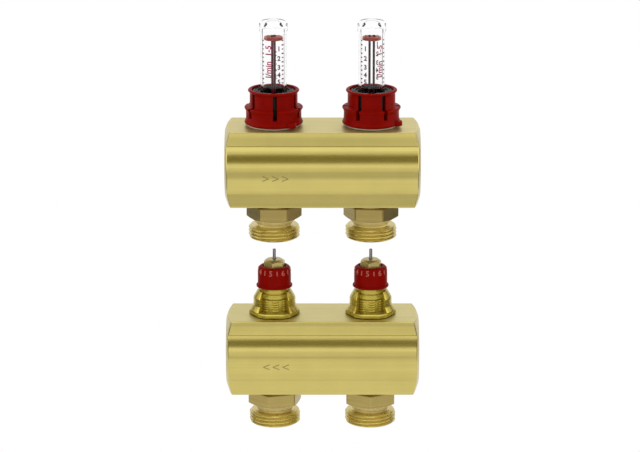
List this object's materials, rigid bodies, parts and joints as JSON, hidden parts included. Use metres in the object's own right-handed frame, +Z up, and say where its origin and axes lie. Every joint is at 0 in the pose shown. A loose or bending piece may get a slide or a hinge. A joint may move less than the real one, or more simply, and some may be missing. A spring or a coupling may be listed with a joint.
{
  "type": "two-circuit heating manifold",
  "caption": "Pair of brass manifold bars for underfloor heating: flow meters with sight glasses on the supply bar, preset valve inserts on the return bar.",
  "frame": {"origin": "middle of the supply bar's bore, halfway along the bar", "axes": "+X along the bars, +Y towards the wall behind them, +Z up; the return bar's axis is 100.5 mm below"},
  "size_m": [0.1, 0.042, 0.2144],
  "materials": {
    "bar_brass": "satin, fine lengthwise machining lines",
    "outlet_brass": "satin, turned",
    "insert_brass": "satin, turned",
    "red_plastic": "satin moulded",
    "coral_plastic": "satin moulded",
    "stem_plastic": "satin moulded",
    "black_plastic": "satin moulded",
    "pale_plastic": "satin moulded",
    "clear_plastic": "clear, polished",
    "pin_steel": "ground",
    "spring_steel": "drawn wire",
    "seal_rubber": "matte"
  },
  "bodies": {
    "bars": {"supply_bar": "bar_brass", "return_bar": "bar_brass", "supply_outlet_1": "outlet_brass", "supply_outlet_seal_1": "seal_rubber", "flow_insert_body_1": "pale_plastic", "flow_insert_seal_1": "seal_rubber", "return_outlet_1": "outlet_brass", "return_outlet_seal_1": "seal_rubber", "valve_body_1": "insert_brass", "valve_body_seal_1": "seal_rubber", "indicator_spring_1": "spring_steel", "valve_spring_1": "spring_steel", "supply_outlet_2": "outlet_brass", "supply_outlet_seal_2": "seal_rubber", "flow_insert_body_2": "pale_plastic", "flow_insert_seal_2": "seal_rubber", "return_outlet_2": "outlet_brass", "return_outlet_seal_2": "seal_rubber", "valve_body_2": "insert_brass", "valve_body_seal_2": "seal_rubber", "indicator_spring_2": "spring_steel", "valve_spring_2": "spring_steel"},
    "lock_1": {"locking_ring_1": "red_plastic"},
    "flow_setting_1": {"adjusting_collar_1": "black_plastic", "sight_glass_1": "clear_plastic", "glass_seal_1": "seal_rubber"},
    "regulating_1": {"regulating_sleeve_1": "pale_plastic"},
    "indicator_1": {"indicator_stem_1": "stem_plastic", "indicator_disc_1": "coral_plastic", "baffle_plate_1": "pale_plastic"},
    "preset_1": {"preset_ring_1": "red_plastic", "throttle_sleeve_1": "pale_plastic", "gland_nut_1": "insert_brass", "gland_seal_1": "seal_rubber"},
    "spindle_1": {"spindle_pin_1": "pin_steel", "valve_spindle_1": "insert_brass", "cone_disc_1": "seal_rubber"},
    "lock_2": {"locking_ring_2": "red_plastic"},
    "flow_setting_2": {"adjusting_collar_2": "black_plastic", "sight_glass_2": "clear_plastic", "glass_seal_2": "seal_rubber"},
    "regulating_2": {"regulating_sleeve_2": "pale_plastic"},
    "indicator_2": {"indicator_stem_2": "stem_plastic", "indicator_disc_2": "coral_plastic", "baffle_plate_2": "pale_plastic"},
    "preset_2": {"preset_ring_2": "red_plastic", "throttle_sleeve_2": "pale_plastic", "gland_nut_2": "insert_brass", "gland_seal_2": "seal_rubber"},
    "spindle_2": {"spindle_pin_2": "pin_steel", "valve_spindle_2": "insert_brass", "cone_disc_2": "seal_rubber"}
  },
  "joints": [
    {"name": "lock_lift_1", "type": "slide", "parent": "bars", "child": "lock_1", "axis": [0, 0, 1], "range_m": [0, 0.01]},
    {"name": "flow_turn_1", "type": "hinge", "parent": "bars", "child": "flow_setting_1", "pos_m": [-0.025, 0, 0.03], "axis": [0, 0, 1], "range_deg": [-450, 450]},
    {"name": "regulating_slide_1", "type": "slide", "parent": "bars", "child": "regulating_1", "axis": [0, 0, 1], "range_m": [-0.0026, 0.0026]},
    {"name": "flow_indication_1", "type": "slide", "parent": "bars", "child": "indicator_1", "axis": [0, 0, 1], "range_m": [-0.018, 0], "stiffness_N_per_m": 12, "springref_m": 0.01, "deforming": ["indicator_spring_1"]},
    {"name": "preset_turn_1", "type": "hinge", "parent": "bars", "child": "preset_1", "pos_m": [-0.025, 0, -0.0607], "axis": [0, 0, 1], "range_deg": [-120, 160]},
    {"name": "spindle_stroke_1", "type": "slide", "parent": "bars", "child": "spindle_1", "axis": [0, 0, 1], "range_m": [-0.0025, 0], "stiffness_N_per_m": 1000, "springref_m": 0.004, "deforming": ["valve_spring_1"]},
    {"name": "lock_lift_2", "type": "slide", "parent": "bars", "child": "lock_2", "axis": [0, 0, 1], "range_m": [0, 0.01]},
    {"name": "flow_turn_2", "type": "hinge", "parent": "bars", "child": "flow_setting_2", "pos_m": [0.025, 0, 0.03], "axis": [0, 0, 1], "range_deg": [-450, 450]},
    {"name": "regulating_slide_2", "type": "slide", "parent": "bars", "child": "regulating_2", "axis": [0, 0, 1], "range_m": [-0.0026, 0.0026]},
    {"name": "flow_indication_2", "type": "slide", "parent": "bars", "child": "indicator_2", "axis": [0, 0, 1], "range_m": [-0.018, 0], "stiffness_N_per_m": 12, "springref_m": 0.01, "deforming": ["indicator_spring_2"]},
    {"name": "preset_turn_2", "type": "hinge", "parent": "bars", "child": "preset_2", "pos_m": [0.025, 0, -0.0607], "axis": [0, 0, 1], "range_deg": [-120, 160]},
    {"name": "spindle_stroke_2", "type": "slide", "parent": "bars", "child": "spindle_2", "axis": [0, 0, 1], "range_m": [-0.0025, 0], "stiffness_N_per_m": 1000, "springref_m": 0.004, "deforming": ["valve_spring_2"]}
  ],
  "couplings": [
    {"joint": "regulating_slide_1", "follows": "flow_turn_1", "m_per_rad": 0.00031831},
    {"joint": "regulating_slide_2", "follows": "flow_turn_2", "m_per_rad": 0.00031831}
  ]
}
